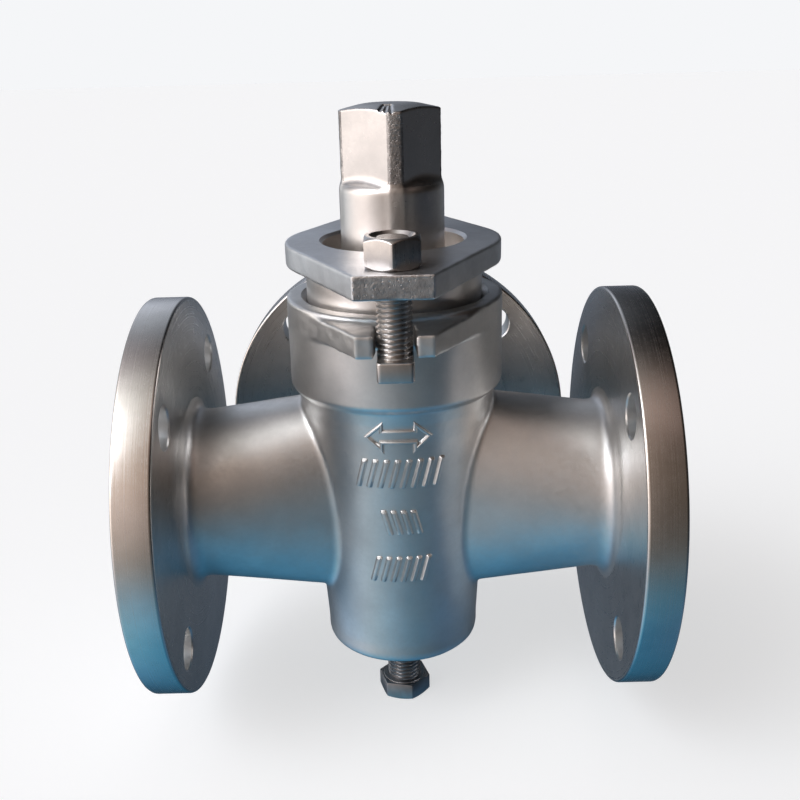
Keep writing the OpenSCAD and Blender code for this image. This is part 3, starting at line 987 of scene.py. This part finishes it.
def turned_metal(name, base, dark, rough, lines, scale, relief):
    """Machined steel: tool lines round an axis or across it, faint stains, fine scratches."""
    n = Nodes(bpy.data.materials.new(name))
    at = n.place()
    cloud = n.noise(at, 0.06, 4, 0.6)
    stain = n.noise(at, 0.22, 5, 0.7)
    x, y, z = n.add("ShaderNodeSeparateXYZ", {0: at}).outputs
    if lines == "radius":
        along = n.length(x, y)
    elif lines == "out":
        # rings round the nearest flange axis: the smaller of |x| and |y| lies in the face
        along = n.length(n.math("MINIMUM", n.math("ABSOLUTE", x), n.math("ABSOLUTE", y)), z)
    else:
        along = {"x": x, "z": z}[lines]
    tool = n.add("ShaderNodeTexNoise", {
        "W": n.math("MULTIPLY", along, scale), "Scale": 1.0, "Detail": 4.0, "Roughness": 0.7},
        noise_dimensions="1D").outputs["Fac"]
    fine = n.noise(at, 3.2, 2, 0.6)
    colour = n.mix(n.ramp(cloud, 0.3, 0.7), base, dark)
    colour = n.mix(n.ramp(stain, 0.52, 0.80, 0.0, 0.5), colour, dark)
    gloss = n.math("ADD", n.ramp(tool, 0.3, 0.7, rough - 0.06, rough + 0.06),
                   n.ramp(stain, 0.3, 0.8, -0.02, 0.07))
    height = n.math("ADD", n.math("MULTIPLY", tool, 0.9), n.math("MULTIPLY", fine, 0.25))
    return n.metal(colour, 1.0, gloss, n.bump(height, relief, 0.00006))


def graphite_yarn(name):
    """Braided graphite packing."""
    n = Nodes(bpy.data.materials.new(name))
    fibre = n.noise(n.place((0.6, 0.6, 3.0)), 1.6, 3, 0.7)
    tint = n.noise(n.place(), 0.3, 4, 0.6)
    colour = n.mix(n.ramp(tint, 0.3, 0.7), (0.030, 0.030, 0.032), (0.075, 0.073, 0.072))
    gloss = n.ramp(fibre, 0.3, 0.7, 0.42, 0.62)
    return n.metal(colour, 0.25, gloss, n.bump(fibre, 0.6, 0.00015))


WORN_EDGE = (0.92, 0.9, 0.87)
# near-black colour painted into the castings' concave places as shade
PAINTED_HOLLOW_SHADE = (0.12, 0.115, 0.115)

# base and stain colours, roughness, grain, depth of the pits
CAST = cast_metal("cast_stainless", (0.8, 0.785, 0.765), (0.66, 0.65, 0.635), 0.4)
GLAND_CAST = cast_metal("cast_gland", (0.82, 0.82, 0.83), (0.66, 0.66, 0.67), 0.38, 1.3, 0.4)
HEAD_CAST = cast_metal("cast_square", (0.74, 0.71, 0.69), (0.62, 0.6, 0.58), 0.32, 0.6, 0.3)
CAST_SKIN = cast_metal("cast_skin", (0.8, 0.75, 0.71), (0.26, 0.24, 0.23), 0.4, 7, 3, speckle=1)

# base and stain colours, roughness, which way the tool lines follow, lines a mm, relief
RIM_TURNED = turned_metal(
    "turned_rim", (0.76, 0.72, 0.68), (0.66, 0.62, 0.58), 0.22, "x", 1.4, 0.12)
FACE_TURNED = turned_metal(
    "turned_face", (0.68, 0.67, 0.66), (0.58, 0.57, 0.56), 0.26, "out", 1.8, 0.3)
BACK_TURNED = turned_metal(
    "turned_back", (0.7, 0.69, 0.675), (0.6, 0.59, 0.575), 0.3, "out", 1.5, 0.2)
BORE_TURNED = turned_metal(
    "turned_bore", (0.56, 0.55, 0.54), (0.4, 0.39, 0.38), 0.3, "z", 1.2, 0.25)
STEM_TURNED = turned_metal(
    "turned_stem", (0.84, 0.8, 0.77), (0.72, 0.69, 0.66), 0.34, "z", 2.2, 0.13)
BOLT_STEEL = turned_metal(
    "bolt_steel", (0.64, 0.61, 0.58), (0.48, 0.45, 0.43), 0.3, "radius", 3, 0.25)
DARK_STEEL = turned_metal(
    "dark_steel", (0.42, 0.415, 0.42), (0.24, 0.235, 0.24), 0.34, "radius", 3, 0.3)
GRAPHITE = graphite_yarn("graphite_packing")


def centres(ob):
    """Centres in millimetres and normals of an object's faces."""
    polygons = ob.data.polygons
    at, facing = np.zeros(len(polygons) * 3), np.zeros(len(polygons) * 3)
    polygons.foreach_get("center", at)
    polygons.foreach_get("normal", facing)
    return at.reshape(-1, 3) / MM, facing.reshape(-1, 3)


def paint(ob, materials, choice=None):
    """Gives an object its materials, and each face the number of its own."""
    ob.data.materials.clear()
    for m in materials:
        ob.data.materials.append(m)
    numbers = np.zeros(len(ob.data.polygons)) if choice is None else choice
    ob.data.polygons.foreach_set("material_index", numbers.astype(np.int32))
    ob.data.update()


def paint_body(body):
    """Cast skin, with the flanges' rims, faces and backs and all bores turned."""
    skin, rim, face, bore, back = range(5)
    at, facing = centres(body)
    x, y, z = at.T
    rho = np.hypot(x, y)
    out = np.maximum(np.abs(x), y)
    along_y = y > np.abs(x)
    aside = np.where(along_y, x, y)
    side = np.hypot(aside, z)
    inward = np.where(along_y, facing[:, 0], facing[:, 1]) * aside + facing[:, 2] * z < 0
    choice = np.full(len(at), skin)
    choice[(out > BACK - 0.05) & (out < BACK + 1.5) & (side > NECK_R + 6)] = back
    choice[(out > BACK + 0.05) & (side > FLANGE_R - 1.6)] = rim
    choice[(out > RIM - 0.1) & (side > BORE_R + 0.9)] = face
    choice[(out < FACE) & (out > 28) & (side < 38) & inward & (side < BORE_R + 8)] = bore
    well = np.where(z < SEAT_TOP - 0.1, PLUG_R + 0.7 + SLOPE * z,
                    BOX_BORE_R + 0.3 + np.clip(z - BOX_TOP + 2.6, 0, 3))
    choice[(rho < well) & (z > WELL_FLOOR - 1) & (z < BOX_TOP - 0.02)] = bore
    paint(body, [CAST, RIM_TURNED, FACE_TURNED, BORE_TURNED, BACK_TURNED], choice)


def paint_plug(plug):
    """Turned below, cast on the square, rougher on its corners."""
    square, turned, skin = range(3)
    at, facing = centres(plug)
    z = at[:, 2]
    rho = np.hypot(at[:, 0], at[:, 1])
    choice = np.full(len(at), turned)
    choice[z > SQUARE_LOW - 1] = square
    choice[(z > SQUARE_LOW + 0.6) & (rho > 20.3) & (np.abs(facing[:, 2]) < 0.5)] = skin
    paint(plug, [HEAD_CAST, STEM_TURNED, CAST_SKIN], choice)


def paint_gland(gland):
    """Cast flange, turned sleeve and hole, rough ends on the ears."""
    cast, turned, skin = range(3)
    at, facing = centres(gland)
    rho = np.hypot(at[:, 0], at[:, 1])
    choice = np.full(len(at), cast)
    choice[(at[:, 2] < GLAND_BOTTOM - 0.1) | (rho < GLAND_HOLE_R + 0.5)] = turned
    choice[(np.abs(at[:, 1]) > GLAND_HIGH[1] - 1.0) & (np.abs(facing[:, 1]) > 0.8)] = skin
    paint(gland, [GLAND_CAST, STEM_TURNED, CAST_SKIN], choice)


# -------- build

def place(piece, body, slot, *nodes):
    """What a piece rides on and which CAD nodes it stands for; the slot is not used."""
    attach(piece, body)
    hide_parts(*nodes)


body = build_body()
paint_body(body)
place(body, "valve_body", "cast_body", "body")

plug = build_plug()
paint_plug(plug)
place(plug, "plug", "turned_steel", "plug")

gland = build_gland()
paint_gland(gland)
place(gland, "gland", "cast_gland", "gland")

for end, side in (("front", -1), ("rear", 1)):
    nut = build_nut(f"gland_nut_{end}_hex", side)
    paint(nut, [BOLT_STEEL])
    place(nut, f"nut_{end}", "fasteners", f"gland_nut_{end}")
    bolt = build_bolt(f"gland_bolt_{end}_threaded", side)
    paint(bolt, [BOLT_STEEL])
    place(bolt, "valve_body", "fasteners", f"gland_bolt_{end}")

for piece, material, rides_on, slot, node in (
        (build_jack(), DARK_STEEL, "jack", "dark_fasteners", "jack_screw"),
        (build_lock_nut(), DARK_STEEL, "valve_body", "dark_fasteners", "jack_lock_nut"),
        (build_seat_ring(), STEM_TURNED, "lift", "turned_steel", "packing_seat_ring"),
        (build_pad(), STEM_TURNED, "lift", "turned_steel", "thrust_pad")):
    paint(piece, [material])
    place(piece, rides_on, slot, node)

for k in range(4):
    node = f"packing_ring_{k + 1}"
    low, high = node_box(node)
    piece = packing_ring(f"{node}_braid", low[2], high[2])
    paint(piece, [GRAPHITE])
    place(piece, "valve_body", "packing", node)
    if k == 0:
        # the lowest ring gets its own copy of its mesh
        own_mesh(piece)
    else:
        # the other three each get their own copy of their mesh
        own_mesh(piece)


# -------- floor, light, camera

# Soft panels: turn from the front (right is positive) and rise, in degrees; how sharply the
# panel falls off, so a higher number is a smaller panel; colour with its strength.
PANELS = [
    (-22, -65, 16, (0, 0.13, 0.28)),
    (-22, -40, 16, (0.14, 0.29, 0.43)),
    (-22, -15, 16, (0.2, 0.17, 0.13)),
    (-22, 10, 16, (0.5, 0.42, 0.4)),
    (-22, 35, 16, (0.5, 0.38, 0.3)),
    (22, -40, 16, (0.02, 0.1, 0.15)),
    (22, -15, 16, (0.1, 0.09, 0.08)),
    (22, 20, 16, (0.09, 0.07, 0.055)),
    (22, 62, 16, (0.33, 0.24, 0.21)),
    (-60, -50, 12, (0.12, 0.22, 0.15)),
    (-60, -22, 16, (0.4, 0.37, 0.44)),
    (-60, 4, 16, (1.4, 1.24, 1.12)),
    (-60, 44, 24, (4, 4.15, 4.2)),
    (-60, 66, 14, (0.42, 0.43, 0.4)),
    (60, -50, 12, (0.06, 0.12, 0.21)),
    (-90, -50, 12, (0.12, 0.33, 0.62)),
    (-88, 8, 20, (1.8, 1.62, 1.53)),
    (-102, -22, 14, (0.3, 0.3, 0.3)),
    (-90, 30, 20, (0.6, 0.56, 0.52)),
    (-100, 52, 12, (0.5, 0.45, 0.5)),
    (100, -45, 10, (0.05, 0.11, 0.18)),
    (-120, 0, 14, (0.74, 0.8, 0.84)),
    (-160, 20, 24, (0.6, 0.66, 0.78)),
    (-160, 44, 20, (0.26, 0.3, 0.35)),
    (180, -14, 10, (0.13, 0.16, 0.21)),
    (140, -10, 12, (0.1, 0.105, 0.11)),
    (98, -8, 9, (0.035, 0.03, 0.028)),
    (180, -80, 10, (0.02, 0.13, 0.24)),
]
BACKDROP = (0.913, 0.922, 0.939)
FLOOR_MATT = (0.46, 0.46, 0.46)
FLOOR_GLOW = (0.6, 0.605, 0.61)  # brings the floor up to the backdrop
FLOOR_SIZE = 8.0


def direction(turn, rise):
    """Unit vector towards a turn from the front, right positive, and a rise, in degrees."""
    a, e = math.radians(turn), math.radians(rise)
    return math.sin(a) * math.cos(e), -math.cos(a) * math.cos(e), math.sin(e)


def pale_floor():
    """Pale floor with a soft shadow; the object isn't lit by it and doesn't mirror it."""
    size, z = FLOOR_SIZE, CAD_BOX[0][2]
    mesh = bpy.data.meshes.new("floor")
    mesh.from_pydata([(-size, -size, z), (size, -size, z), (size, size, z), (-size, size, z)],
                     [], [(0, 1, 2, 3)])
    floor = link("floor", mesh)
    n = Nodes(bpy.data.materials.new("floor"))
    matt = n.add("ShaderNodeBsdfDiffuse", {"Color": FLOOR_MATT})
    glow = n.add("ShaderNodeEmission", {"Color": FLOOR_GLOW, "Strength": 1.0})
    both = n.add("ShaderNodeAddShader", {0: matt.outputs[0], 1: glow.outputs[0]})
    paint(floor, [n.finish(both)])
    floor.visible_glossy = False
    floor.visible_diffuse = False
    floor.visible_shadow = False
    floor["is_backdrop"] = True


def studio_world():
    """Soft panels of light all round, seen by the object only; the camera sees a pale backdrop."""
    n = Nodes(bpy.data.worlds.new("studio"), "ShaderNodeOutputWorld")
    way = n.add("ShaderNodeTexCoord").outputs["Generated"]
    total = None
    for turn, rise, sharpness, colour in PANELS:
        near = n.vector("DOT_PRODUCT", {0: way, 1: direction(turn, rise)}, "Value")
        power = n.math("EXPONENT", n.math("MULTIPLY_ADD", near, sharpness, -sharpness))
        panel = n.vector("SCALE", {0: colour, "Scale": power})
        total = panel if total is None else n.vector("ADD", {0: total, 1: panel})
    lit = n.add("ShaderNodeBackground", {"Color": total})
    pale = n.add("ShaderNodeBackground", {"Color": BACKDROP})
    seen = n.add("ShaderNodeLightPath").outputs["Is Camera Ray"]
    SCENE.world = n.finish(n.add("ShaderNodeMixShader", {
        0: seen, 1: lit.outputs[0], 2: pale.outputs[0]}))


def key_light(turn, rise, width, power, colour):
    """A broad soft light from far off: a disc of this width in degrees."""
    data = bpy.data.lights.new("key", "SUN")
    data.angle = math.radians(width)
    data.energy = power
    data.color = colour
    ob = bpy.data.objects.new("key", data)
    ob.rotation_mode = "QUATERNION"
    ob.rotation_quaternion = (-Vector(direction(turn, rise))).to_track_quat("-Z", "Y")
    SCENE.collection.objects.link(ob)


def camera():
    """Just under half a metre from the valve and a little above it, as it was seen."""
    target, away = np.array([0.001211, 0.0, 0.042495]), 0.454413
    turn, rise, roll = 0.097, 19.66, math.radians(1.495)
    back = np.array(direction(turn, rise))
    right = np.array([math.cos(math.radians(turn)), math.sin(math.radians(turn)), 0.0])
    up = np.cross(back, right)
    x = right * math.cos(roll) - up * math.sin(roll)
    y = right * math.sin(roll) + up * math.cos(roll)
    data = bpy.data.cameras.new("camera")
    data.sensor_width = 36.0
    data.lens = 45.43
    data.clip_start, data.clip_end = 0.02, 40.0
    ob = bpy.data.objects.new("camera", data)
    ob.matrix_world = Matrix([(*row, 0) for row in zip(x, y, back)] + [(0, 0, 0, 1)])
    ob.matrix_world.translation = target + back * away
    SCENE.collection.objects.link(ob)
    SCENE.camera = ob


SCENE.view_settings.view_transform = "Standard"
pale_floor()
studio_world()
key_light(turn=-58, rise=36, width=40, power=0.85, colour=(0.84, 0.88, 1.0))
camera()

low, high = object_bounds()
